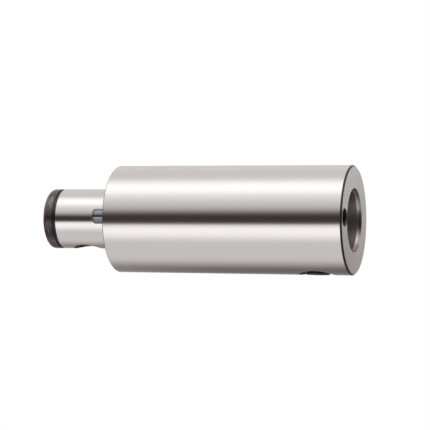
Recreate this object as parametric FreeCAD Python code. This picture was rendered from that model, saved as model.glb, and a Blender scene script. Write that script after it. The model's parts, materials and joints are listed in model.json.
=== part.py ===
"""Modular extension bar for tool holders: a turned and ground steel bar with a spigot at one
end and a matching socket at the other, so that bars can be stacked between a holder and a head.

Millimetres. The origin is the centre of the socket face and +Z runs along the bar to the spigot.
The drive pin and the drive hole lie on the -Y side. The clamp screw and the pocket that such a
screw bites into lie on the -X side, a quarter turn away.
"""
import FreeCAD, Part
import math
import os

# Body
body_diameter = 50.0
body_length = 112.6
face_chamfer = 0.8
shoulder_chamfer = 0.4

# Spigot, from the shoulder to the nose
spigot_diameter = 28.0
ground_length = 27.7
root_groove_width = 0.6
root_groove_depth = 0.3
nose_relief_width = 1.5
nose_relief_depth = 0.45
nose_length = 5.1
nose_round = 1.9

# Socket that takes the spigot of the next bar
socket_clearance = 0.006
socket_end_gap = 2.3
socket_lead_depth = 2.0
socket_lead_angle = 15.0

# Coolant hole through the whole bar
coolant_diameter = 10.0
coolant_chamfer = 0.8

# Drive pin in the shoulder and the hole for the next bar's pin
pin_diameter = 7.0
pin_spigot_gap = 1.3
pin_stand_out = 6.3
pin_seat_depth = 9.0
pin_shank_step = 0.2
pin_tip_round = 0.9
pin_foot_chamfer = 0.4
drive_hole_clearance = 0.1
drive_hole_end_gap = 1.7
drive_hole_chamfer = 0.5
drill_point_angle = 118.0

# Clamp screw, its hole and the conical pocket in the spigot
pocket_distance = 16.0
pull_in_offset = 0.5
pocket_mouth_radius = 7.0
pocket_depth = 5.5
cone_half_angle = 30.0
screw_diameter = 12.0
screw_clearance = 0.05
screw_cone_length = 4.0
screw_end_sink = 0.1
screw_tip_gap = 0.35
screw_edge_chamfer = 0.5
key_across_flats = 6.0
key_depth = 5.0
recess_diameter = 17.0
recess_depth = 3.0

# Worked out from the sizes above
body_radius = body_diameter / 2
spigot_radius = spigot_diameter / 2
spigot_length = ground_length + nose_relief_width + nose_length
overall_length = body_length + spigot_length
socket_radius = spigot_radius + socket_clearance
socket_depth = spigot_length + socket_end_gap
socket_mouth_radius = socket_radius + socket_lead_depth * math.tan(math.radians(socket_lead_angle))
pin_radius = pin_diameter / 2
pin_shank_radius = pin_radius + pin_shank_step
pin_circle_radius = spigot_radius + pin_spigot_gap + pin_radius
drive_hole_radius = pin_radius + drive_hole_clearance
drive_hole_depth = pin_stand_out + drive_hole_end_gap
screw_radius = screw_diameter / 2
screw_height = pocket_distance + pull_in_offset
screw_outer_end = body_radius - screw_end_sink
screw_inner_end = socket_radius + screw_tip_gap
screw_tip_radius = screw_radius - screw_cone_length * math.tan(math.radians(cone_half_angle))
pocket_floor_radius = pocket_mouth_radius - pocket_depth * math.tan(math.radians(cone_half_angle))
cut_margin = 1.0
seam_angle = 45.0

X_AXIS = FreeCAD.Vector(1, 0, 0)
Y_AXIS = FreeCAD.Vector(0, 1, 0)
Z_AXIS = FreeCAD.Vector(0, 0, 1)
ORIGIN = FreeCAD.Vector(0, 0, 0)


def corner(radius, height):
    """A point of a half section in the XZ plane."""
    return FreeCAD.Vector(radius, 0, height)


def lines(points):
    """Straight edges that join the points in order."""
    return [Part.LineSegment(a, b).toShape() for a, b in zip(points, points[1:])]


def quarter_round(centre, radius):
    """A quarter circle in the XZ plane, from the side of a turned piece to its end."""
    angles = [math.radians(step) for step in (0, 45, 90)]
    points = [centre + FreeCAD.Vector(radius * math.cos(a), 0, radius * math.sin(a)) for a in angles]
    return Part.Arc(*points).toShape()


def turned(edges):
    """The solid that a closed half section leaves when it is spun about the Z axis."""
    wire = Part.Wire(Part.__sortEdges__(edges))
    return Part.Face(wire).revolve(ORIGIN, Z_AXIS, 360)


def blind_hole(radius, depth, mouth, direction):
    """A drilled hole with a conical end, from its mouth along direction."""
    point_length = radius / math.tan(math.radians(drill_point_angle / 2))
    start = mouth - direction * cut_margin
    barrel = Part.makeCylinder(radius, depth + cut_margin, start, direction)
    point = Part.makeCone(radius, 0, point_length, mouth + direction * depth, direction)
    return barrel.fuse(point)


def mouth_chamfer(radius, size, mouth, direction):
    """The cone that breaks the sharp edge of a hole at its mouth."""
    start = mouth - direction * size
    return Part.makeCone(radius + 2 * size, radius, 2 * size, start, direction)


def body_half_section():
    """Half section of the bar, from the socket face up the outside and down the coolant hole."""
    groove_floor = body_length - root_groove_depth
    ground_end = body_length + ground_length
    nose_start = ground_end + nose_relief_width
    outside = [
        corner(socket_mouth_radius, 0),
        corner(body_radius - face_chamfer, 0),
        corner(body_radius, face_chamfer),
        corner(body_radius, body_length - shoulder_chamfer),
        corner(body_radius - shoulder_chamfer, body_length),
        corner(spigot_radius + root_groove_width, body_length),
        corner(spigot_radius + root_groove_width, groove_floor),
        corner(spigot_radius, groove_floor),
        corner(spigot_radius, ground_end),
        corner(spigot_radius - nose_relief_depth, ground_end + nose_relief_depth),
        corner(spigot_radius - nose_relief_depth, nose_start),
        corner(spigot_radius, nose_start),
        corner(spigot_radius, overall_length - nose_round),
    ]
    nose_centre = corner(spigot_radius - nose_round, overall_length - nose_round)
    coolant_radius = coolant_diameter / 2
    inside = [
        corner(spigot_radius - nose_round, overall_length),
        corner(coolant_radius + coolant_chamfer, overall_length),
        corner(coolant_radius, overall_length - coolant_chamfer),
        corner(coolant_radius, socket_depth),
        corner(socket_radius, socket_depth),
        corner(socket_radius, socket_lead_depth),
        corner(socket_mouth_radius, 0),
    ]
    return lines(outside) + [quarter_round(nose_centre, nose_round)] + lines(inside)


def drive_hole_cut():
    """The hole in the socket face that takes the next bar's drive pin."""
    mouth = FreeCAD.Vector(0, -pin_circle_radius, 0)
    hole = blind_hole(drive_hole_radius, drive_hole_depth, mouth, Z_AXIS)
    return hole.fuse(mouth_chamfer(drive_hole_radius, drive_hole_chamfer, mouth, Z_AXIS))


def pin_seat_cut():
    """The reamed seat that holds the drive pin in the shoulder."""
    floor = FreeCAD.Vector(0, -pin_circle_radius, body_length - pin_seat_depth)
    return Part.makeCylinder(pin_shank_radius, pin_seat_depth + cut_margin, floor, Z_AXIS)


def screw_hole_cut():
    """The clamp screw's hole through the socket wall, with the wider recess outside it."""
    axis_point = FreeCAD.Vector(0, 0, screw_height)
    hole = Part.makeCylinder(screw_radius + screw_clearance, body_radius, axis_point, -X_AXIS)
    recess_floor = axis_point - X_AXIS * (body_radius - recess_depth)
    recess = Part.makeCylinder(recess_diameter / 2, recess_depth + cut_margin, recess_floor, -X_AXIS)
    return hole.fuse(recess)


def pocket_cut():
    """The conical pocket in the spigot that the next holder's clamp screw bites into."""
    flare = math.tan(math.radians(cone_half_angle))
    floor = FreeCAD.Vector(pocket_depth - spigot_radius, 0, body_length + pocket_distance)
    mouth_radius = pocket_mouth_radius + cut_margin * flare
    return Part.makeCone(pocket_floor_radius, mouth_radius, pocket_depth + cut_margin, floor, -X_AXIS)


def make_bar():
    """The bar itself: body, spigot and nose are one turned piece, its seam clear of the holes."""
    bar = turned(body_half_section())
    bar.rotate(ORIGIN, Z_AXIS, seam_angle)
    for cut in (drive_hole_cut(), pin_seat_cut(), screw_hole_cut(), pocket_cut()):
        bar = bar.cut(cut)
    return bar


def make_drive_pin():
    """The pin pressed into the shoulder, which carries the torque."""
    foot = body_length - pin_seat_depth
    tip = body_length + pin_stand_out
    side = lines([
        corner(0, foot),
        corner(pin_shank_radius - pin_foot_chamfer, foot),
        corner(pin_shank_radius, foot + pin_foot_chamfer),
        corner(pin_shank_radius, body_length),
        corner(pin_radius, body_length),
        corner(pin_radius, tip - pin_tip_round),
    ])
    round_centre = corner(pin_radius - pin_tip_round, tip - pin_tip_round)
    top = lines([corner(pin_radius - pin_tip_round, tip), corner(0, tip), corner(0, foot)])
    pin = turned(side + [quarter_round(round_centre, pin_tip_round)] + top)
    pin.translate(FreeCAD.Vector(0, -pin_circle_radius, 0))
    return pin


def hexagon_prism(across_flats, length):
    """A hexagonal prism on the Z axis, from Z = 0 upwards."""
    corner_radius = across_flats / (2 * math.cos(math.radians(30)))
    angles = [math.radians(60 * side) for side in range(7)]
    points = [FreeCAD.Vector(corner_radius * math.cos(a), corner_radius * math.sin(a), 0) for a in angles]
    return Part.Face(Part.makePolygon(points)).extrude(FreeCAD.Vector(0, 0, length))


def make_clamp_screw():
    """The headless clamp screw, drawn tip down on the Z axis and then laid into its hole."""
    length = screw_outer_end - screw_inner_end
    screw = turned(lines([
        corner(0, 0),
        corner(screw_tip_radius, 0),
        corner(screw_radius, screw_cone_length),
        corner(screw_radius, length - screw_edge_chamfer),
        corner(screw_radius - screw_edge_chamfer, length),
        corner(0, length),
        corner(0, 0),
    ]))
    key = hexagon_prism(key_across_flats, key_depth + cut_margin)
    key.translate(FreeCAD.Vector(0, 0, length - key_depth))
    key_drill = Part.makeCone(0, key_across_flats / 2, key_across_flats / 4)
    key_drill.translate(FreeCAD.Vector(0, 0, length - key_depth - key_across_flats / 4))
    screw = screw.cut(key.fuse(key_drill))
    screw.rotate(ORIGIN, Y_AXIS, -90)
    screw.translate(FreeCAD.Vector(-screw_inner_end, 0, screw_height))
    return screw


def save(name, shape):
    """Write one solid as a STEP file and say how big it is."""
    solid = shape.Solids[0]
    assert len(shape.Solids) == 1 and solid.isValid(), name
    solid.exportStep("parts/" + name + ".step")
    box = solid.BoundBox
    corners = (box.XMin, box.YMin, box.ZMin, box.XMax, box.YMax, box.ZMax)
    print(name, "volume", round(solid.Volume, 1), "box", [round(value, 3) for value in corners])


os.makedirs("parts", exist_ok=True)
save("bar", make_bar())
save("drive_pin", make_drive_pin())
save("clamp_screw", make_clamp_screw())

bite_gap = pocket_mouth_radius - screw_tip_radius - pull_in_offset
bite_depth = bite_gap / math.tan(math.radians(cone_half_angle))
screw_travel = screw_tip_gap + socket_clearance + bite_depth
print("clamp screw travel to its bite", round(screw_travel, 2), "mm")
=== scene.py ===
# %% [markdown]
# A modular extension bar, finished in Blender
#
# The real object is a ground steel bar that sits between a tool holder and a boring head. This
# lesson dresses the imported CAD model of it. The CAD fixes every size and place, so nothing here
# is moved or fitted: the script reads the frame, makes finer meshes of the same forms, and gives
# them the finishes of the real thing.

import json
import math

import bmesh
import bpy
import numpy as np
from mathutils import Matrix, Vector


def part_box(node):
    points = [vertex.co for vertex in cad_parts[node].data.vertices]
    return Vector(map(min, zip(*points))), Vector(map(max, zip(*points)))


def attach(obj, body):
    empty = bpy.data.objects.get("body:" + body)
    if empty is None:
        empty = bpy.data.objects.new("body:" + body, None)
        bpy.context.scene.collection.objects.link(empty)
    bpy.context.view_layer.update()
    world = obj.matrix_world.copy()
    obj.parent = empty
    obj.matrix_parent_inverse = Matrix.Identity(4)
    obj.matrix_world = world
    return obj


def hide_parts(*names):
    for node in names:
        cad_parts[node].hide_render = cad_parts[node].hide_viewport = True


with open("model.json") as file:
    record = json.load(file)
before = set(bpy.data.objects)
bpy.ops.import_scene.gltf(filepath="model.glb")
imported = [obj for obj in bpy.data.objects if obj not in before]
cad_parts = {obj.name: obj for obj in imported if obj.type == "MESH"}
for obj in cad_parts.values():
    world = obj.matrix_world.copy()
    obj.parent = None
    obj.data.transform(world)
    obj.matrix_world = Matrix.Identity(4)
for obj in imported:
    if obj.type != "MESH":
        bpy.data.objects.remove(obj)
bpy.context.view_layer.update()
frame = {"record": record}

# %% [markdown]
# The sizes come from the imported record. Each mount there is an interface of the real bar, with
# its place, so the spigot, the socket and the holes are read from it. What no mount states, such
# as a chamfer, is a named value beside it. All of these are in metres.

# %% Read the sizes
MM = 0.001
mounts = {mount["name"]: mount for mount in frame["record"]["mounts"]}


def mount_radius(name):
    """The radius that the record states for a round mount."""
    return mounts[name]["dims"]["r_mm"] * MM


_, bar_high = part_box("bar")
screw_low, screw_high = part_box("clamp_screw")
pin_low, pin_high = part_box("drive_pin")

body_radius = bar_high.x
overall_length = bar_high.z
shoulder_z = mounts["shoulder_face"]["pos_m"][2]
spigot_radius = mount_radius("spigot")
socket_radius = mount_radius("socket")
coolant_radius = mount_radius("coolant_hole")
pin_radius = mount_radius("drive_pin")
pin_shank_radius = (pin_high.x - pin_low.x) / 2
pin_y = mounts["drive_pin"]["pos_m"][1]
drive_hole_radius = mount_radius("drive_hole")
screw_z = mounts["key_socket"]["pos_m"][2]
pocket_z = mounts["clamp_pocket"]["pos_m"][2]
print("body radius", round(body_radius, 4), "length", round(overall_length, 4))

# %% [markdown]
# The camera comes from fitting the photo's outlines: the rim of the body, the two ends of the
# spigot and the socket's mouth. The bar lies on its side there, with the spigot to the left, and
# is seen a little from the socket end through a long lens. So the camera is built backwards: the
# bar is laid down, turned and placed before a camera at rest, and the camera then gets the
# inverse of that.

# %% Place the camera
SENSOR_WIDTH = 36.0
LENS = 147.7
BAR_TURN = math.radians(4.0)
CAMERA_YAW = math.radians(17.656)
CAMERA_ROLL = math.radians(0.266)
socket_face_place = Vector((0.063025, -0.002401, -0.79715))
lay_down = Matrix(((0, 0, -1), (1, 0, 0), (0, -1, 0))).to_4x4()

seen = Matrix.Translation(socket_face_place)
seen = seen @ Matrix.Rotation(-CAMERA_ROLL, 4, "Z") @ Matrix.Rotation(-CAMERA_YAW, 4, "Y")
seen = seen @ lay_down @ Matrix.Rotation(BAR_TURN, 4, "Z")

camera_data = bpy.data.cameras.new("camera")
camera_data.lens = LENS
camera_data.sensor_width = SENSOR_WIDTH
camera_data.clip_start = 0.01
camera = bpy.data.objects.new("camera", camera_data)
bpy.context.scene.collection.objects.link(camera)
camera.matrix_world = seen.inverted()
bpy.context.scene.camera = camera
bpy.context.scene.view_settings.view_transform = "Standard"
print("camera at", [round(value, 3) for value in camera.matrix_world.translation])

# %% [markdown]
# A node tree is easier to read as a formula than as a drawing. `Value` wraps one output of a
# node, and its operators add Math nodes, so `1 - mask` works. Every other node comes from
# `Tree.node`, which takes the node's type, its settings and the values or links of its sockets.
# A Mix node has sockets of one name for each kind of data, so its colours go by their numbers.

# %% A small class for node trees
MIX_FACTOR = 0
MIX_COLOUR_A = 6
MIX_COLOUR_B = 7
MIX_COLOUR_OUT = 2


class Value:
    """One output of a node, on which arithmetic adds Math nodes."""

    def __init__(self, tree, socket):
        self.tree = tree
        self.socket = socket

    def __add__(self, other):
        return self.tree.maths("ADD", self, other)

    def __radd__(self, other):
        return self.tree.maths("ADD", other, self)

    def __sub__(self, other):
        return self.tree.maths("SUBTRACT", self, other)

    def __rsub__(self, other):
        return self.tree.maths("SUBTRACT", other, self)

    def __mul__(self, other):
        return self.tree.maths("MULTIPLY", self, other)

    def __rmul__(self, other):
        return self.tree.maths("MULTIPLY", other, self)

    def __truediv__(self, other):
        return self.tree.maths("DIVIDE", self, other)

    def floor(self):
        return self.tree.maths("FLOOR", self)

    def absolute(self):
        return self.tree.maths("ABSOLUTE", self)

    def least(self, other):
        return self.tree.maths("MINIMUM", self, other)

    def most(self, other):
        return self.tree.maths("MAXIMUM", self, other)

    def between(self, low, high):
        """0 below low, 1 above high, and a smooth rise from one to the other."""
        settings = {"interpolation_type": "SMOOTHSTEP"}
        inputs = {"Value": self, "From Min": low, "From Max": high}
        return self.tree.node("ShaderNodeMapRange", settings, inputs)["Result"]


class Outputs:
    """The outputs of one node, each by its name."""

    def __init__(self, tree, made):
        self.tree = tree
        self.made = made

    def __getitem__(self, name):
        return Value(self.tree, self.made.outputs[name])


class Tree:
    """A node tree of a material, the world or a geometry modifier."""

    def __init__(self, tree):
        self.tree = tree
        self.tree.nodes.clear()

    def node(self, kind, settings=None, inputs=None):
        """Add one node: its type, then its settings, then the values or links of its sockets."""
        made = self.tree.nodes.new(kind)
        for name, value in (settings or {}).items():
            setattr(made, name, value)
        for name, value in (inputs or {}).items():
            if isinstance(value, Value):
                self.tree.links.new(value.socket, made.inputs[name])
            else:
                made.inputs[name].default_value = value
        return Outputs(self, made)

    def maths(self, operation, *values):
        """The result of a Math node on these values."""
        return self.node("ShaderNodeMath", {"operation": operation}, dict(enumerate(values)))["Value"]

    def mix(self, factor, colour_a, colour_b):
        """A colour between two others."""
        settings = {"data_type": "RGBA"}
        inputs = {MIX_FACTOR: factor, MIX_COLOUR_A: colour_a, MIX_COLOUR_B: colour_b}
        made = self.node("ShaderNodeMix", settings, inputs).made
        return Value(self, made.outputs[MIX_COLOUR_OUT])

    def split(self, vector):
        """The x, y and z of a vector."""
        parts = self.node("ShaderNodeSeparateXYZ", {}, {"Vector": vector})
        return parts["X"], parts["Y"], parts["Z"]

    def join(self, x, y, z):
        """A vector from its three parts."""
        return self.node("ShaderNodeCombineXYZ", {}, {"X": x, "Y": y, "Z": z})["Vector"]


# %% [markdown]
# Bare steel has hardly a colour of its own: what shows is the studio round it. The photo's bands
# are soft light boxes, a plain wall and a dark gap between two boxes, all mirrored in the
# cylinder. The world here is that studio, drawn by direction. Turning round the bar's axis from
# the camera's side, each card has a place in degrees, an edge that is sharp or soft, and a level.
# The walls come to about 1, the boxes bring them up to 1.8, and the gap is nearly dark. An edge
# is a pair: where the change starts, and where it ends.

# %% Set out the cards above and below the gap
GAP_LEVEL = 0.05
UPPER_WALL_EDGE = (7, 28)
UPPER_WALL_LEVEL = 0.68
UPPER_RISE_EDGE = (22, 46)
UPPER_RISE = 0.34
UPPER_DIP_EDGE = (84, 112)
UPPER_DIP = 0.15
UPPER_END_EDGE = (135, 180)
UPPER_END_DIP = 0.24
UPPER_BOX_MIDDLE = 71.5
UPPER_BOX_REACH = 30
UPPER_BOX_LEVEL = 0.7
LOWER_WALL_EDGE = (6.5, 12.4)
LOWER_WALL_END = (88, 132)
LOWER_WALL_LEVEL = 0.83
LOWER_STRIP_EDGE = (7.6, 19)
LOWER_STRIP_END = (24, 53)
LOWER_STRIP_LEVEL = 0.64
print("gap of", UPPER_WALL_EDGE[0] + LOWER_WALL_EDGE[0], "degrees between the two walls")

# %% [markdown]
# The cards lean a little: their places shift with the height of the direction, and they spread
# apart in directions below the horizon. Far round, the two sides meet in a seam that is even
# from both. Behind the bar and below it is a dim wall, which the socket face mirrors.

# %% Lean the cards and close the ring
CARD_SKEW = 16
CARD_SKEW_HEIGHT = 0.3
FAR_SKEW = 34
FAR_SKEW_HEIGHT = 0.27
CARD_SPREAD = 24
SPREAD_DROP = (0.02, 0.14)
UPPER_SPREAD = 0.6
LOWER_SPREAD = 1.5
FAR_SIDE_EDGE = (95, 135)
FAR_SIDE_LEVEL = 0.17
FAR_SIDE_RISE = 0.23
FAR_SIDE_RISE_HEIGHT = (0.3, 0.4)
FAR_END_EDGE = (146, 180)
FAR_END_LEVEL = 0.3
SEAM_EDGE = (164, 180)
SEAM_LEVEL = 0.62
BEHIND_EDGE = (0.5, 0.8)
BEHIND_DROP = (0.08, 0.24)
BEHIND_LEVEL = 0.28
BEHIND_RISE = 0.5
BEHIND_RISE_EDGE = (-0.02, 0.15)
print("seam of", 2 * (SEAM_EDGE[1] - SEAM_EDGE[0]), "degrees on the far side")

# %% [markdown]
# All of it is one shader in the world. The level and the tint of each direction are worked out
# apart and then multiplied. Only the camera sees plain white instead of the cards: the steel
# mirrors the cards, because with white there it would show no bands.

# %% Light the studio
DEGREES = 180 / math.pi
WARM = (1.0, 0.99, 0.98, 1)
COOL = (1.0, 0.985, 1.0, 1)
WARM_EDGE = (-20, 20)
GAP_TINT = (1.0, 0.8, 0.77, 1)
GAP_TINT_EDGE = (-11, -7)
GAP_TINT_END = (8, 24)
DUSK = (1.0, 0.93, 0.92, 1)
DUSK_EDGE = (80, 110)
PALE_DUSK = (1.0, 0.97, 0.94, 1)
PALE_DUSK_EDGE = (0.03, 0.1)
WHITE = (1, 1, 1, 1)


def make_studio():
    """The world: a ring of soft cards round the bar, a dim wall behind, and white for the camera."""
    world = bpy.data.worlds.new("studio")
    world.use_nodes = True
    tree = Tree(world.node_tree)
    x, y, z = tree.split(tree.node("ShaderNodeTexCoord")["Generated"])
    around = tree.maths("ARCTAN2", x, 0 - y) * DEGREES
    turn = around + math.degrees(BAR_TURN) + CARD_SKEW * (z - CARD_SKEW_HEIGHT)
    lower = 0 - turn
    far = lower - FAR_SKEW * (z - FAR_SKEW_HEIGHT)
    spread = CARD_SPREAD * (0 - z).between(*SPREAD_DROP)
    over = turn - UPPER_SPREAD * spread
    under = lower - LOWER_SPREAD * spread

    upper_wall = UPPER_WALL_LEVEL * over.between(*UPPER_WALL_EDGE)
    upper_wall = upper_wall + UPPER_RISE * over.between(*UPPER_RISE_EDGE)
    upper_wall = upper_wall - UPPER_DIP * turn.between(*UPPER_DIP_EDGE)
    upper_wall = upper_wall - UPPER_END_DIP * turn.between(*UPPER_END_EDGE)
    from_box = (turn - UPPER_BOX_MIDDLE).absolute()
    upper_box = UPPER_BOX_LEVEL * (1 - from_box.between(0, UPPER_BOX_REACH))
    lower_wall = LOWER_WALL_LEVEL * under.between(*LOWER_WALL_EDGE)
    lower_wall = lower_wall * (1 - far.between(*LOWER_WALL_END))
    lower_strip = LOWER_STRIP_LEVEL * under.between(*LOWER_STRIP_EDGE)
    lower_strip = lower_strip * (1 - lower.between(*LOWER_STRIP_END))
    far_side = FAR_SIDE_LEVEL + FAR_SIDE_RISE * z.between(*FAR_SIDE_RISE_HEIGHT)
    far_side = far_side * far.between(*FAR_SIDE_EDGE) + FAR_END_LEVEL * far.between(*FAR_END_EDGE)
    level = GAP_LEVEL + upper_wall + upper_box + lower_wall + lower_strip + far_side
    seam = around.absolute().between(*SEAM_EDGE)
    level = level + seam * (SEAM_LEVEL - level)

    behind = y.between(*BEHIND_EDGE) * (0 - z).between(*BEHIND_DROP)
    wall_behind = BEHIND_LEVEL + BEHIND_RISE * x.between(*BEHIND_RISE_EDGE)
    level = level + behind * (wall_behind - level)

    tint = tree.mix(turn.between(*WARM_EDGE), COOL, WARM)
    in_gap = turn.between(*GAP_TINT_EDGE) * (1 - turn.between(*GAP_TINT_END))
    tint = tree.mix(in_gap, tint, GAP_TINT)
    tint = tree.mix(lower.between(*DUSK_EDGE), tint, DUSK)
    tint = tree.mix(seam, tint, PALE_DUSK)
    tint = tree.mix(behind, tint, tree.mix(x.between(*PALE_DUSK_EDGE), DUSK, PALE_DUSK))
    colour = tree.node("ShaderNodeVectorMath", {"operation": "SCALE"}, {0: tint, "Scale": level})
    studio = tree.node("ShaderNodeBackground", {}, {"Color": colour["Vector"]})["Background"]
    plain = tree.node("ShaderNodeBackground", {}, {"Color": WHITE})["Background"]
    camera_ray = tree.node("ShaderNodeLightPath")["Is Camera Ray"]
    shown = tree.node("ShaderNodeMixShader", {}, {0: camera_ray, 1: studio, 2: plain})["Shader"]
    tree.node("ShaderNodeOutputWorld", {}, {"Surface": shown})
    return world


bpy.context.scene.world = make_studio()
print("studio made")

# %% [markdown]
# The bar stands on its socket face, so the floor lies at that face's height. The photo looks at
# the bar from below that height, where a solid floor would hide it. So the floor is a one-sided
# card: seen from below it is clear, and only the camera sees it at all, so that it shades
# neither the socket nor the steel. Away from the bar it fades into the white behind it, as a
# curved paper backdrop does, so there is no horizon.

# %% Lay the floor
FLOOR_RADIUS = 1.5
FLOOR_SEGMENTS = 64
FLOOR_DROP = 0.00002
FLOOR_COLOUR = (0.93, 0.93, 0.93, 1)
FADE_START = 0.15
FADE_END = 0.9


def make_floor_paint():
    """Pale matt paint on the upper side that fades to white, and nothing on the lower side."""
    material = bpy.data.materials.new("floor_paint")
    material.use_nodes = True
    tree = Tree(material.node_tree)
    below = tree.node("ShaderNodeNewGeometry")["Backfacing"]
    x, y, _ = tree.split(tree.node("ShaderNodeTexCoord")["Object"])
    far_off = tree.maths("SQRT", x * x + y * y).between(FADE_START, FADE_END)
    paint = tree.node("ShaderNodeBsdfDiffuse", {}, {"Color": FLOOR_COLOUR})["BSDF"]
    white = tree.node("ShaderNodeEmission", {}, {"Color": WHITE})["Emission"]
    faded = tree.node("ShaderNodeMixShader", {}, {0: far_off, 1: paint, 2: white})["Shader"]
    clear = tree.node("ShaderNodeBsdfTransparent")["BSDF"]
    shown = tree.node("ShaderNodeMixShader", {}, {0: below, 1: faded, 2: clear})["Shader"]
    tree.node("ShaderNodeOutputMaterial", {}, {"Surface": shown})
    return material


def make_floor():
    """A round card under the bar."""
    mesh = bpy.data.meshes.new("floor")
    build = bmesh.new()
    bmesh.ops.create_circle(build, cap_ends=True, segments=FLOOR_SEGMENTS, radius=FLOOR_RADIUS)
    bmesh.ops.translate(build, verts=build.verts, vec=(0, 0, -FLOOR_DROP))
    build.to_mesh(mesh)
    build.free()
    floor = bpy.data.objects.new("floor", mesh)
    bpy.context.scene.collection.objects.link(floor)
    mesh.materials.append(make_floor_paint())
    for ray in ("diffuse", "glossy", "transmission", "shadow"):
        setattr(floor, "visible_" + ray, False)
    return floor


floor = make_floor()
print("floor faces up:", floor.data.polygons[0].normal.z > 0)

# %% [markdown]
# Nearly every surface of this part was turned, ground or drilled about some axis. So one idea
# makes all of its meshes but the screw's thread: a half section, spun about an axis. A `Turned`
# form keeps that section, from which each corner of the bar's and the pin's meshes later gets the
# direction that the real surface faces there. Steel shows its studio like a mirror, and normals
# that are only averaged from facets would make it ripple.

# %% A form that is turned about an axis
ROUND_STEPS = 8
ON_AXIS = 1e-7


class Turned:
    """A half section, spun about an axis, which knows its exact normals."""

    def __init__(self, axis_frame=None):
        self.place = axis_frame or Matrix.Identity(4)
        self.points = []
        self.stretches = []

    def line(self, *points):
        """Straight stretches from the last point through these (radius, height) points."""
        for point in points:
            if self.points:
                start = self.points[-1]
                run = Vector(point) - Vector(start)
                facing = Vector((run.y, -run.x)).normalized()
                self.stretches.append((start, point, facing, facing))
            self.points.append(point)
        return self

    def arc(self, centre, radius, start_angle, end_angle):
        """A round stretch about a centre, between two angles in degrees."""
        steps = np.linspace(math.radians(start_angle), math.radians(end_angle), ROUND_STEPS + 1)
        for index, angle in enumerate(steps):
            facing = Vector((math.cos(angle), math.sin(angle)))
            point = (centre[0] + radius * facing.x, centre[1] + radius * facing.y)
            if index == 0:
                self.line(point)
            else:
                self.stretches.append((self.points[-1], point, last, facing))
                self.points.append(point)
            last = facing
        return self

    def mesh(self, name, segments):
        """The spun mesh, closed at the axis or round a hole."""
        build = bmesh.new()
        rings = []
        for radius, height in self.points:
            if radius < ON_AXIS:
                rings.append([build.verts.new((0, 0, height))])
                continue
            turns = [2 * math.pi * index / segments for index in range(segments)]
            places = [(radius * math.cos(a), radius * math.sin(a), height) for a in turns]
            rings.append([build.verts.new(place) for place in places])
        pairs = list(zip(rings, rings[1:]))
        if len(rings[0]) > 1:
            pairs.append((rings[-1], rings[0]))
        for low, high in pairs:
            for index in range(segments):
                following = (index + 1) % segments
                corners = [low[index % len(low)], low[following % len(low)]]
                corners += [high[following % len(high)], high[index % len(high)]]
                build.faces.new(list(dict.fromkeys(corners)))
        bmesh.ops.transform(build, matrix=self.place, verts=build.verts)
        bmesh.ops.recalc_face_normals(build, faces=build.faces)
        made = bpy.data.meshes.new(name)
        build.to_mesh(made)
        build.free()
        return made


print("turned forms have", ROUND_STEPS, "steps in a rounded corner")

# %% [markdown]
# The holes are cut with booleans, as a drill would make them. A boolean leaves long odd faces
# round each hole, which averaged normals would shade badly. So after the cuts each face is
# matched to the turned stretch that it lies on, and its corners get that stretch's direction. A
# face that matches none keeps its own.

# %% Cut, and restore the exact normals
MATCH_DISTANCE = 5e-6
MATCH_FACING = 0.9
LEAST_RADIUS = 1e-9


def cut(mesh, tools):
    """The mesh with each tool's shape taken out of it."""
    piece = bpy.data.objects.new("cutting", mesh)
    bpy.context.scene.collection.objects.link(piece)
    helpers = []
    for index, tool in enumerate(tools):
        helper = bpy.data.objects.new("tool_" + str(index), tool)
        bpy.context.scene.collection.objects.link(helper)
        modifier = piece.modifiers.new("cut_" + str(index), "BOOLEAN")
        modifier.operation = "DIFFERENCE"
        modifier.solver = "EXACT"
        modifier.object = helper
        helpers.append(helper)
    evaluated = piece.evaluated_get(bpy.context.evaluated_depsgraph_get())
    result = bpy.data.meshes.new_from_object(evaluated)
    for helper in helpers + [piece]:
        bpy.data.objects.remove(helper)
    return result


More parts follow.
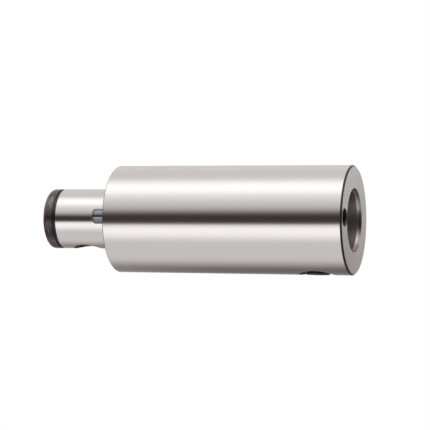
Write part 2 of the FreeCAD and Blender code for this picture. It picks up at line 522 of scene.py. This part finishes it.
def face_exactly(mesh, forms):
    """Turn each corner's normal to the turned stretch that its face lies on."""
    count = len(mesh.vertices)
    places = np.empty(count * 3)
    mesh.vertices.foreach_get("co", places)
    places = places.reshape(count, 3)
    loop_vertex = np.empty(len(mesh.loops), dtype=np.int64)
    mesh.loops.foreach_get("vertex_index", loop_vertex)
    starts = np.empty(len(mesh.polygons), dtype=np.int64)
    totals = np.empty(len(mesh.polygons), dtype=np.int64)
    mesh.polygons.foreach_get("loop_start", starts)
    mesh.polygons.foreach_get("loop_total", totals)
    flat = np.empty(len(mesh.polygons) * 3)
    mesh.polygons.foreach_get("normal", flat)
    flat = flat.reshape(-1, 3)[np.repeat(np.arange(len(totals)), totals)]
    normals = flat.copy()
    best = np.full(len(mesh.polygons), MATCH_FACING)
    for form in forms:
        turn = np.array(form.place.to_3x3())
        local = (places - np.array(form.place.translation)) @ turn
        radius = np.hypot(local[:, 0], local[:, 1])
        outward = local[:, :2] / np.maximum(radius, LEAST_RADIUS)[:, None]
        for start, end, facing_a, facing_b in form.stretches:
            run = np.array(end) - np.array(start)
            offset = np.stack([radius - start[0], local[:, 2] - start[1]], axis=1)
            along = offset @ run / (run @ run)
            away = np.abs(offset[:, 0] * run[1] - offset[:, 1] * run[0]) / math.sqrt(run @ run)
            slack = MATCH_DISTANCE / math.sqrt(run @ run)
            on = (away < MATCH_DISTANCE) & (along > -slack) & (along < 1 + slack)
            matched = np.logical_and.reduceat(on[loop_vertex], starts)
            share = np.clip(along, 0, 1)[:, None]
            section = (1 - share) * np.array(facing_a) + share * np.array(facing_b)
            facing = np.column_stack([outward * section[:, :1], section[:, 1:]]) @ turn.T
            facing = facing[loop_vertex]
            agreement = (facing * flat).sum(axis=1)
            facing = facing * np.sign(agreement)[:, None]
            score = np.minimum.reduceat(np.abs(agreement), starts)
            better = matched & (score > best)
            best[better] = score[better]
            chosen = np.repeat(better, totals)
            normals[chosen] = facing[chosen]
    mesh.polygons.foreach_set("use_smooth", [True] * len(mesh.polygons))
    mesh.normals_split_custom_set(normals.tolist())
    print(mesh.name, "faces matched", int((best > MATCH_FACING).sum()), "of", len(best))


def keep(name, mesh, body, node):
    """Make the finished piece, which rides on its body and stands for its CAD node."""
    piece = bpy.data.objects.new(name, mesh)
    bpy.context.scene.collection.objects.link(piece)
    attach(piece, body)
    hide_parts(node)
    print(name, "has", len(mesh.polygons), "faces")


# %% [markdown]
# The bar is one turned piece: body, shoulder, spigot and nose outside, coolant hole and socket
# inside. Its section starts at the socket's mouth, goes up the outside, over the nose and down
# the holes.

# %% Turn the bar
BAR_SEGMENTS = 288
FACE_CHAMFER = 0.8 * MM
SHOULDER_CHAMFER = 0.4 * MM
ROOT_GROOVE_WIDTH = 0.6 * MM
ROOT_GROOVE_DEPTH = 0.3 * MM
GROUND_LENGTH = 27.7 * MM
NOSE_RELIEF_WIDTH = 1.5 * MM
NOSE_RELIEF_DEPTH = 0.45 * MM
NOSE_ROUND = 1.9 * MM
SOCKET_DEPTH = 36.6 * MM
SOCKET_LEAD_DEPTH = 2.0 * MM
SOCKET_LEAD_ANGLE = math.radians(15)
COOLANT_CHAMFER = 0.8 * MM

ground_end = shoulder_z + GROUND_LENGTH
nose_start = ground_end + NOSE_RELIEF_WIDTH
socket_mouth_radius = socket_radius + SOCKET_LEAD_DEPTH * math.tan(SOCKET_LEAD_ANGLE)

bar_form = Turned()
bar_form.line(
    (socket_mouth_radius, 0),
    (body_radius - FACE_CHAMFER, 0),
    (body_radius, FACE_CHAMFER),
    (body_radius, shoulder_z - SHOULDER_CHAMFER),
    (body_radius - SHOULDER_CHAMFER, shoulder_z),
    (spigot_radius + ROOT_GROOVE_WIDTH, shoulder_z),
    (spigot_radius + ROOT_GROOVE_WIDTH, shoulder_z - ROOT_GROOVE_DEPTH),
    (spigot_radius, shoulder_z - ROOT_GROOVE_DEPTH),
    (spigot_radius, ground_end),
    (spigot_radius - NOSE_RELIEF_DEPTH, ground_end + NOSE_RELIEF_DEPTH),
    (spigot_radius - NOSE_RELIEF_DEPTH, nose_start),
    (spigot_radius, nose_start),
)
bar_form.arc((spigot_radius - NOSE_ROUND, overall_length - NOSE_ROUND), NOSE_ROUND, 0, 90)
bar_form.line(
    (coolant_radius + COOLANT_CHAMFER, overall_length),
    (coolant_radius, overall_length - COOLANT_CHAMFER),
    (coolant_radius, SOCKET_DEPTH),
    (socket_radius, SOCKET_DEPTH),
    (socket_radius, SOCKET_LEAD_DEPTH),
    (socket_mouth_radius, 0),
)
print("bar section has", len(bar_form.points), "points")

# %% [markdown]
# Four tools cut it: the drive hole, the pin's seat, the screw's hole with its recess, and the
# cone of the pocket. Each is itself a turned form about its own axis.

# %% Cut the bar's holes
TOOL_SEGMENTS = 96
MARGIN = 1.0 * MM
DRIVE_HOLE_DEPTH = 8.0 * MM
DRIVE_HOLE_CHAMFER = 0.5 * MM
DRILL_POINT = math.radians(118 / 2)
PIN_SEAT_DEPTH = 9.0 * MM
SCREW_HOLE_RADIUS = 6.05 * MM
SCREW_HOLE_OVERLAP = 2 * MM
RECESS_RADIUS = 8.5 * MM
RECESS_DEPTH = 3.0 * MM
POCKET_MOUTH_RADIUS = 7.0 * MM
POCKET_DEPTH = 5.5 * MM
CONE_ANGLE = math.radians(30)


def upright_at(x, y, z):
    """An axis along +Z from that point."""
    return Matrix.Translation((x, y, z))


def sideways_at(x, z):
    """An axis along -X from that point, on which the clamp screw and the pocket lie."""
    return Matrix.Translation((x, 0, z)) @ Matrix.Rotation(math.radians(-90), 4, "Y")


drive_hole = Turned(upright_at(0, pin_y, 0)).line(
    (0, -MARGIN),
    (drive_hole_radius + DRIVE_HOLE_CHAMFER + MARGIN, -MARGIN),
    (drive_hole_radius, DRIVE_HOLE_CHAMFER),
    (drive_hole_radius, DRIVE_HOLE_DEPTH),
    (0, DRIVE_HOLE_DEPTH + drive_hole_radius / math.tan(DRILL_POINT)),
)
pin_seat = Turned(upright_at(0, pin_y, shoulder_z - PIN_SEAT_DEPTH)).line(
    (0, 0),
    (pin_shank_radius, 0),
    (pin_shank_radius, PIN_SEAT_DEPTH + MARGIN),
    (0, PIN_SEAT_DEPTH + MARGIN),
)
recess_floor = body_radius - RECESS_DEPTH
screw_hole_start = socket_radius - SCREW_HOLE_OVERLAP
screw_hole = Turned(sideways_at(0, screw_z)).line(
    (0, screw_hole_start),
    (SCREW_HOLE_RADIUS, screw_hole_start),
    (SCREW_HOLE_RADIUS, recess_floor),
    (RECESS_RADIUS, recess_floor),
    (RECESS_RADIUS, body_radius + MARGIN),
    (0, body_radius + MARGIN),
)
pocket_floor_radius = POCKET_MOUTH_RADIUS - POCKET_DEPTH * math.tan(CONE_ANGLE)
pocket = Turned(sideways_at(0, pocket_z)).line(
    (0, spigot_radius - POCKET_DEPTH),
    (pocket_floor_radius, spigot_radius - POCKET_DEPTH),
    (POCKET_MOUTH_RADIUS + MARGIN * math.tan(CONE_ANGLE), spigot_radius + MARGIN),
    (0, spigot_radius + MARGIN),
)
bar_tools = (drive_hole, pin_seat, screw_hole, pocket)
bar_mesh = bar_form.mesh("bar", BAR_SEGMENTS)
bar_mesh = cut(bar_mesh, [tool.mesh("tool", TOOL_SEGMENTS) for tool in bar_tools])
bar_mesh.name = "bar_mesh"
face_exactly(bar_mesh, (bar_form,) + bar_tools)

# %% [markdown]
# One material finishes the bar, because it is one piece of steel. The ground steel is a metal with
# fine lines round the axis: a noise that is stretched along the turn, on the axis distance and the
# height, so the lines are rings on the end faces too. The same lines move the colour, the
# roughness and a faint bump, and the highlight is longer along the bar than round it, as grinding
# leaves it. What the grinding wheel never touched is told apart by where it lies: the nose, both
# chamfers of the body, the holes, the screw's recess and the pocket.

# %% Lines that run round the axis
LINES_ACROSS = 2600
LINES_ALONG = 45
LINE_DETAIL = 3.0
LINE_GRAIN = 0.6
LINE_HEIGHT = 0.0006 * MM
EDGE = 0.02 * MM


def turning_lines(tree, across, along):
    """Fine lines that run round the Z axis, from 0 to 1, and the place they were made from."""
    place = tree.node("ShaderNodeTexCoord")["Object"]
    x, y, z = tree.split(place)
    radius = tree.maths("SQRT", x * x + y * y)
    spot = tree.join(x * along, y * along, (z + radius) * across)
    settings = {"noise_dimensions": "3D"}
    inputs = {"Vector": spot, "Scale": 1.0, "Detail": LINE_DETAIL, "Roughness": LINE_GRAIN}
    return tree.node("ShaderNodeTexNoise", settings, inputs)["Fac"], (x, y, z, radius)


def above(value, limit):
    """1 where a value has passed a limit, with a hair's width of blend before it."""
    return value.between(limit - EDGE, limit)


def below(value, limit):
    """1 where a value is under a limit, with a hair's width of blend beyond it."""
    return 1 - value.between(limit, limit + EDGE)


# %% [markdown]
# The masks follow the same sizes as the cuts. A chamfer is the only surface that lies both within
# its height and outside its radius. The walls of a hole lie within its radius from its own axis.
# The pocket is a cone, so its radius grows with the distance from the bar's axis. Round the drive
# hole is an oval of painted shade on the face, which reaches further towards the rim.

# %% Tell the surfaces of the bar apart
# The oval round the drive hole is painted shade.
HOLE_SHADE = 5.4 * MM
HOLE_SHADE_BLEND = 0.7 * MM
HOLE_SHADE_SQUEEZE = 1.5
HOLE_SHADE_OUTER = 0.84
HOLE_SHADE_SHARE = 0.9
RECESS_SHARE = 0.94
LEAD_FADE_START = 0.4
MASK_MARGIN = 1.0 * MM


def bar_masks(tree, x, y, z, radius):
    """Where each unground surface and the painted shade round the drive hole lie, from 0 to 1."""
    nose = above(z, nose_start)
    relief = above(z, ground_end + EDGE) * (1 - nose)
    face_rim = below(z, FACE_CHAMFER) * above(radius, body_radius - FACE_CHAMFER + EDGE)
    shoulder_rim = above(z, shoulder_z - SHOULDER_CHAMFER + EDGE) * below(z, shoulder_z)
    shoulder_rim = shoulder_rim * above(radius, body_radius - SHOULDER_CHAMFER + EDGE)
    groove = above(z, shoulder_z - MASK_MARGIN) * below(z, shoulder_z - EDGE)
    groove = groove * below(radius, spigot_radius + ROOT_GROOVE_WIDTH)

    across = y - pin_y
    from_pin = tree.maths("SQRT", x * x + across * across)
    mouth = drive_hole_radius + DRIVE_HOLE_CHAMFER
    drill = below(from_pin, mouth) * above(z, EDGE) * below(z, shoulder_z / 2)
    # Round the drive hole an oval of the face is painted dark: painted shade.
    reach = across.most(HOLE_SHADE_OUTER * across)
    in_oval = tree.maths("SQRT", HOLE_SHADE_SQUEEZE * x * x + reach * reach)
    hole_shade = (1 - in_oval.between(HOLE_SHADE - HOLE_SHADE_BLEND, HOLE_SHADE)) * below(z, EDGE)
    bore = below(radius, socket_mouth_radius) * below(z, shoulder_z)
    lead = bore * (1 - z.between(LEAD_FADE_START * SOCKET_LEAD_DEPTH, SOCKET_LEAD_DEPTH))
    bore = (bore - lead).most(below(radius, coolant_radius + COOLANT_CHAMFER - EDGE))

    screw_side = (0 - x).between(0, EDGE)
    from_screw = tree.maths("SQRT", y * y + (z - screw_z) * (z - screw_z))
    recess = screw_side * below(from_screw, RECESS_RADIUS)
    recess = recess * above(radius, socket_radius + MASK_MARGIN)
    from_pocket = tree.maths("SQRT", y * y + (z - pocket_z) * (z - pocket_z))
    cone = POCKET_MOUTH_RADIUS - (x + spigot_radius) * math.tan(CONE_ANGLE)
    clear_of_bore = above(radius, spigot_radius - POCKET_DEPTH - MASK_MARGIN)
    dimple = screw_side * (1 - (from_pocket - cone).between(EDGE, 2 * EDGE)) * clear_of_bore
    rims_and_hole_shade = face_rim.most(shoulder_rim).most(groove).most(drill)
    # The painted shade round the drive hole joins the dark rims here.
    rims_and_hole_shade = rims_and_hole_shade.most(RECESS_SHARE * recess).most(HOLE_SHADE_SHARE * hole_shade)
    return nose, relief, rims_and_hole_shade, lead, bore, dimple


# %% [markdown]
# The nose has a black oxide skin: a thin, dark film on steel that still shines, so it is a metal
# with a dark colour. It is browner on its rounded end, and pale in streaks where that end is
# rubbed. It is painted darker and bluer on the screw's side as painted shade, and paler at that
# side's edge as a painted highlight. More pale streaks on the side away from the screw are a
# painted highlight.

# %% Say where the nose is rubbed, and where its shade and highlights are painted
ROUNDED_START = overall_length - 4.5 * MM
ROUNDED_END = overall_length - 3.6 * MM
# On the screw's side the nose is painted darker and bluer: painted shade.
NOSE_SHADE_RAMP = (-8 * MM, 4 * MM)
# At the screw side's edge the nose is painted paler: a painted highlight.
SCREW_SIDE_HIGHLIGHT = (8 * MM, 12 * MM)
# The pale streaks are rubbed wear, and the extra streaks on the side away from the screw are a
# painted highlight.
UPPER_HIGHLIGHT = 0.12
UPPER_HIGHLIGHT_EDGE = (3 * MM, 8 * MM)
RUBBED_AND_HIGHLIGHT_EDGE = (0.56, 0.7)
END_FACE_KEPT = 0.65
STREAKS_ROUND = 120
STREAKS_ALONG = 900
STREAK_DETAIL = 4.0
STREAK_GRAIN = 0.7
print("nose's rounded end starts at", round(ROUNDED_START, 4))

# %% [markdown]
# The bore is a duller, honed steel that is lit only through its mouth, and its lead-in is about
# half as bright as the ground face, and duller. The cut edges and the recess are dark, as the
# stock was before it was ground.

# %% Finish the bar
STEEL = (0.62, 0.6, 0.58, 1)
STEEL_LINES = (0.6, 0.585, 0.57, 1)
NOSE_BLACK = (0.078, 0.079, 0.071, 1)
# The nose's shaded blue and shaded brown are painted shade for its side towards the screw.
NOSE_SHADED_BLUE = (0.037, 0.035, 0.043, 1)
NOSE_BROWN = (0.11, 0.085, 0.08, 1)
NOSE_SHADED_BROWN = (0.055, 0.04, 0.041, 1)
# A painted highlight for the screw side's edge of the nose.
NOSE_EDGE_HIGHLIGHT = (0.13, 0.105, 0.105, 1)
# This pale colour paints both the rubbed streaks and a painted highlight on the upper side.
NOSE_RUBBED_AND_HIGHLIGHT = (0.23, 0.2, 0.19, 1)
# This black also paints the shade round the drive hole.
RIM_AND_SHADE_BLACK = (0.035, 0.028, 0.026, 1)
LEAD_STEEL = (0.3, 0.265, 0.24, 1)
BORE_STEEL = (0.52, 0.47, 0.45, 1)
POCKET_STEEL = (0.1, 0.088, 0.08, 1)
STEEL_ROUGHNESS = 0.17
LINE_CONTRAST = (0.3, 0.7)
SMOOTHEST_LINE = 0.97
LINE_ROUGHENS = 0.06
DULL_ROUGHENS = 0.22
BLACK_ROUGHENS = 0.2
LEAD_DULLNESS = 0.6
RIM_SCALE = 0.5
GRINDING_STRETCH = 0.5
QUARTER_TURN = 0.25


def make_ground_steel():
    """Ground steel: black nose, dark rims and recess, duller holes, painted shade and highlights."""
    material = bpy.data.materials.new("ground_steel")
    material.use_nodes = True
    tree = Tree(material.node_tree)
    lines, (x, y, z, radius) = turning_lines(tree, LINES_ACROSS, LINES_ALONG)
    nose, relief, rims_and_hole_shade, lead, bore, dimple = bar_masks(tree, x, y, z, radius)

    spot = tree.join(x * STREAKS_ROUND, y * STREAKS_ROUND, z * STREAKS_ALONG)
    inputs = {"Vector": spot, "Scale": 1.0, "Detail": STREAK_DETAIL, "Roughness": STREAK_GRAIN}
    streaks = tree.node("ShaderNodeTexNoise", {}, inputs)["Fac"]
    rounded = z.between(ROUNDED_START, ROUNDED_END)
    # Painted shade: the skin and its brown are darker, and bluer, on the screw's side.
    upper = x.between(*NOSE_SHADE_RAMP)
    skin = tree.mix(upper, NOSE_SHADED_BLUE, NOSE_BLACK)
    skin = tree.mix(rounded, skin, tree.mix(upper, NOSE_SHADED_BROWN, NOSE_BROWN))
    # Painted highlight: the skin is paler at the screw side's edge.
    skin = tree.mix((0 - x).between(*SCREW_SIDE_HIGHLIGHT), skin, NOSE_EDGE_HIGHLIGHT)
    # Rubbed streaks, with more of them on the side away from the screw as a painted highlight.
    rubbed_and_highlight = (streaks + UPPER_HIGHLIGHT * x.between(*UPPER_HIGHLIGHT_EDGE)).between(*RUBBED_AND_HIGHLIGHT_EDGE)
    end_face = above(z, overall_length)
    skin = tree.mix(rounded * rubbed_and_highlight * (1 - END_FACE_KEPT * end_face), skin, NOSE_RUBBED_AND_HIGHLIGHT)

    black = nose.most(relief)
    colour = tree.mix(lines.between(*LINE_CONTRAST), STEEL, STEEL_LINES)
    colour = tree.mix(lead, colour, LEAD_STEEL)
    colour = tree.mix(bore, colour, BORE_STEEL)
    colour = tree.mix(dimple, colour, POCKET_STEEL)
    # The rims' black also covers the painted shade round the drive hole.
    colour = tree.mix(rims_and_hole_shade, colour, RIM_AND_SHADE_BLACK)
    colour = tree.mix(black, colour, skin)

    dull = rims_and_hole_shade.most(dimple).most(LEAD_DULLNESS * lead).most(bore)
    metal = 1 - RIM_SCALE * rims_and_hole_shade
    roughness = STEEL_ROUGHNESS * (SMOOTHEST_LINE + lines * LINE_ROUGHENS)
    roughness = roughness + dull * DULL_ROUGHENS + black * BLACK_ROUGHENS
    inputs = {"Strength": 1.0, "Distance": 1.0, "Height": lines * LINE_HEIGHT}
    bump = tree.node("ShaderNodeBump", {}, inputs)["Normal"]
    inputs = {"Base Color": colour, "Metallic": metal, "Roughness": roughness, "Normal": bump}
    inputs["Anisotropic"] = GRINDING_STRETCH
    inputs["Anisotropic Rotation"] = QUARTER_TURN
    shader = tree.node("ShaderNodeBsdfPrincipled", {}, inputs)["BSDF"]
    tree.node("ShaderNodeOutputMaterial", {}, {"Surface": shader})
    return material


bar_mesh.materials.clear()
bar_mesh.materials.append(make_ground_steel())
keep("ground_bar", bar_mesh, "bar", "bar")

# %% [markdown]
# The drive pin is a hardened dowel, darker and harder than the bar. It is turned about its own
# axis, with a rounded tip and a shank that is a little thicker where it sits in the shoulder.

# %% Make the drive pin
PIN_SEGMENTS = 128
PIN_TIP_ROUND = 0.9 * MM
# The pin's rounded tip is painted darker: painted shade.
PIN_TIP_SHADE_START = pin_high.z - 2 * PIN_TIP_ROUND
PIN_TIP_SHADE_END = pin_high.z - 0.5 * PIN_TIP_ROUND
PIN_FOOT_CHAMFER = 0.4 * MM
PIN_ROUGHNESS = 0.14
PIN_LINE_ROUGHENS = 0.06
PIN_STEEL = (0.216, 0.217, 0.231, 1)
PIN_STEEL_LINES = (0.182, 0.183, 0.195, 1)
# The colour of the painted shade on the pin's tip.
PIN_TIP_SHADE = (0.07, 0.07, 0.08, 1)

pin_form = Turned(upright_at(0, pin_y, 0))
pin_form.line(
    (0, pin_low.z),
    (pin_shank_radius - PIN_FOOT_CHAMFER, pin_low.z),
    (pin_shank_radius, pin_low.z + PIN_FOOT_CHAMFER),
    (pin_shank_radius, shoulder_z),
    (pin_radius, shoulder_z),
)
pin_form.arc((pin_radius - PIN_TIP_ROUND, pin_high.z - PIN_TIP_ROUND), PIN_TIP_ROUND, 0, 90)
pin_form.line((0, pin_high.z))


def make_pin_steel():
    """Hardened and polished steel with faint turning lines, and painted shade on its tip."""
    material = bpy.data.materials.new("pin_steel")
    material.use_nodes = True
    tree = Tree(material.node_tree)
    lines, (_, _, z, _) = turning_lines(tree, LINES_ACROSS, LINES_ALONG)
    # Painted shade: the rounded tip is darker.
    tip = z.between(PIN_TIP_SHADE_START, PIN_TIP_SHADE_END)
    colour = tree.mix(lines, PIN_STEEL, PIN_STEEL_LINES)
    colour = tree.mix(tip, colour, PIN_TIP_SHADE)
    roughness = PIN_ROUGHNESS + lines * PIN_LINE_ROUGHENS
    inputs = {"Base Color": colour, "Metallic": 1.0, "Roughness": roughness}
    shader = tree.node("ShaderNodeBsdfPrincipled", {}, inputs)["BSDF"]
    tree.node("ShaderNodeOutputMaterial", {}, {"Surface": shader})
    return material


pin_mesh = pin_form.mesh("pin_mesh", PIN_SEGMENTS)
face_exactly(pin_mesh, (pin_form,))
pin_mesh.materials.append(make_pin_steel())
keep("hardened_pin", pin_mesh, "bar", "drive_pin")

# %% [markdown]
# The clamp screw is a headless screw with a fine thread, a coned point and a hexagon socket. A
# thread follows a rule, so Geometry Nodes make it: a grid is rolled up, and its rows climb by
# one pitch in each turn. Each row keeps its place in the thread's profile, so crests and roots
# follow the helix exactly. The cone at the tip and the chamfer at the outer end limit the radius.

# %% Build the thread's tree
THREAD_PITCH = 1.25 * MM
THREAD_DEPTH = 0.75 * MM
THREAD_MERGE = 0.001 * MM
SPARE_TURNS = 3
ROWS_PER_TURN = 16
SCREW_SEGMENTS = 96
CREST_SHARE = 0.875
ROOT_SHARE = 0.25


def make_thread_tree():
    """A threaded tube on the Z axis, from its coned tip at 0 upwards."""
    group = bpy.data.node_groups.new("thread", "GeometryNodeTree")
    for name in ("Length", "Crest radius", "Thread depth", "Pitch", "Tip radius", "Tip slope"):
        group.interface.new_socket(name, in_out="INPUT", socket_type="NodeSocketFloat")
    group.interface.new_socket("Finish", in_out="INPUT", socket_type="NodeSocketMaterial")
    group.interface.new_socket("Geometry", in_out="OUTPUT", socket_type="NodeSocketGeometry")
    tree = Tree(group)
    given = tree.node("NodeGroupInput")
    length = given["Length"]
    pitch = given["Pitch"]
    root = given["Crest radius"] - given["Thread depth"]
    turns = (length / pitch).floor() + SPARE_TURNS
    rows = turns * ROWS_PER_TURN
    sides = {"Size X": 1.0, "Size Y": 1.0, "Vertices X": SCREW_SEGMENTS + 1, "Vertices Y": rows + 1}
    grid = tree.node("GeometryNodeMeshGrid", {}, sides)["Mesh"]
    across, up, _ = tree.split(tree.node("GeometryNodeInputPosition")["Position"])
    turn = across + 0.5
    row = (up + 0.5) * turns
    climbed = (row + turn - SPARE_TURNS / 2) * pitch
    height = climbed.most(0).least(length)
    from_root = (row - row.floor() - 0.5).absolute() * 2
    linear = {"interpolation_type": "LINEAR"}
    inputs = {"Value": from_root, "From Min": ROOT_SHARE, "From Max": CREST_SHARE}
    share = tree.node("ShaderNodeMapRange", linear, inputs)["Result"]
    radius = root + share * given["Thread depth"]
    radius = radius.least(given["Tip radius"] + height * given["Tip slope"])
    radius = radius.least(root + (length - height))
    angle = turn * (2 * math.pi)
    x = radius * tree.maths("COSINE", angle)
    y = radius * tree.maths("SINE", angle)
    inputs = {"Geometry": grid, "Position": tree.join(x, y, height)}
    rolled = tree.node("GeometryNodeSetPosition", {}, inputs)["Geometry"]
    inputs = {"Geometry": rolled, "Distance": THREAD_MERGE}
    closed = tree.node("GeometryNodeMergeByDistance", {}, inputs)["Geometry"]
    real = tree.node("GeometryNodeRealizeInstances", {}, {"Geometry": closed})["Geometry"]
    inputs = {"Geometry": real, "Material": given["Finish"]}
    done = tree.node("GeometryNodeSetMaterial", {}, inputs)["Geometry"]
    tree.node("NodeGroupOutput", {}, {"Geometry": done})
    return group


def run_tree(group, sizes):
    """The mesh that a geometry tree makes from these named inputs."""
    host = bpy.data.objects.new("host", bpy.data.meshes.new("host"))
    bpy.context.scene.collection.objects.link(host)
    modifier = host.modifiers.new("thread", "NODES")
    modifier.node_group = group
    for item in group.interface.items_tree:
        if item.in_out == "INPUT":
            modifier[item.identifier] = sizes[item.name]
    evaluated = host.evaluated_get(bpy.context.evaluated_depsgraph_get())
    mesh = bpy.data.meshes.new_from_object(evaluated)
    host.modifiers.remove(modifier)
    bpy.data.objects.remove(host)
    return mesh


# %% [markdown]
# The screw's finish is black oxide: a dark, slightly brown satin skin on steel, whose tone and
# gloss are a little cloudy.

# %% Make the clamp screw
SCREW_CONE_LENGTH = 4.0 * MM
KEY_ACROSS_FLATS = 6.0 * MM
KEY_DEPTH = 5.0 * MM
KEY_SIDES = 6
KEY_HALF_SIDE = math.radians(30)
SCREW_BLACK = (0.075, 0.068, 0.064, 1)
SCREW_BROWN = (0.1, 0.088, 0.08, 1)
CLOUD_SCALE = 900.0
CLOUD_DETAIL = 4.0
CLOUD_EDGE = (0.35, 0.7)
SCREW_ROUGHNESS = 0.3
CLOUD_ROUGHENS = 0.15
SHARP_ANGLE = math.radians(25)


def make_screw_steel():
    """Black oxide with a cloudy, oily unevenness."""
    material = bpy.data.materials.new("screw_steel")
    material.use_nodes = True
    tree = Tree(material.node_tree)
    place = tree.node("ShaderNodeTexCoord")["Object"]
    inputs = {"Vector": place, "Scale": CLOUD_SCALE, "Detail": CLOUD_DETAIL}
    cloud = tree.node("ShaderNodeTexNoise", {}, inputs)["Fac"]
    colour = tree.mix(cloud.between(*CLOUD_EDGE), SCREW_BLACK, SCREW_BROWN)
    roughness = SCREW_ROUGHNESS + cloud * CLOUD_ROUGHENS
    inputs = {"Base Color": colour, "Metallic": 1.0, "Roughness": roughness}
    shader = tree.node("ShaderNodeBsdfPrincipled", {}, inputs)["BSDF"]
    tree.node("ShaderNodeOutputMaterial", {}, {"Surface": shader})
    return material


screw_radius = (screw_high.y - screw_low.y) / 2
screw_length = screw_high.x - screw_low.x
screw_sizes = {
    "Length": screw_length,
    "Crest radius": screw_radius,
    "Thread depth": THREAD_DEPTH,
    "Pitch": THREAD_PITCH,
    "Tip radius": screw_radius - SCREW_CONE_LENGTH * math.tan(CONE_ANGLE),
    "Tip slope": math.tan(CONE_ANGLE),
    "Finish": make_screw_steel(),
}
screw_mesh = run_tree(make_thread_tree(), screw_sizes)
build = bmesh.new()
build.from_mesh(screw_mesh)
open_edges = [edge for edge in build.edges if edge.is_boundary]
bmesh.ops.holes_fill(build, edges=open_edges, sides=0)
bmesh.ops.transform(build, matrix=sideways_at(screw_high.x, screw_z), verts=build.verts)
bmesh.ops.recalc_face_normals(build, faces=build.faces)
print("screw's open edges", len(open_edges), "left", sum(e.is_boundary for e in build.edges))
build.to_mesh(screw_mesh)
build.free()

key_drill = KEY_ACROSS_FLATS / 2
key_corner = key_drill / math.cos(KEY_HALF_SIDE)
outer_end = -screw_low.x
key_bottom = outer_end - KEY_DEPTH
key_socket = Turned(sideways_at(0, screw_z)).line(
    (0, key_bottom),
    (key_corner, key_bottom),
    (key_corner, outer_end + MARGIN),
    (0, outer_end + MARGIN),
)
key_point = Turned(sideways_at(0, screw_z)).line(
    (0, key_bottom - key_drill / 2),
    (key_drill, key_bottom),
    (key_drill, key_bottom + MARGIN),
    (0, key_bottom + MARGIN),
)
key_tools = [key_socket.mesh("key_socket", KEY_SIDES), key_point.mesh("key_point", TOOL_SEGMENTS)]
screw_mesh = cut(screw_mesh, key_tools)
screw_mesh.materials.clear()
screw_mesh.materials.append(screw_sizes["Finish"])
screw_mesh.polygons.foreach_set("material_index", [0] * len(screw_mesh.polygons))
screw_mesh.polygons.foreach_set("use_smooth", [True] * len(screw_mesh.polygons))
screw_mesh.set_sharp_from_angle(angle=SHARP_ANGLE)
keep("threaded_screw", screw_mesh, "clamp_screw", "clamp_screw")
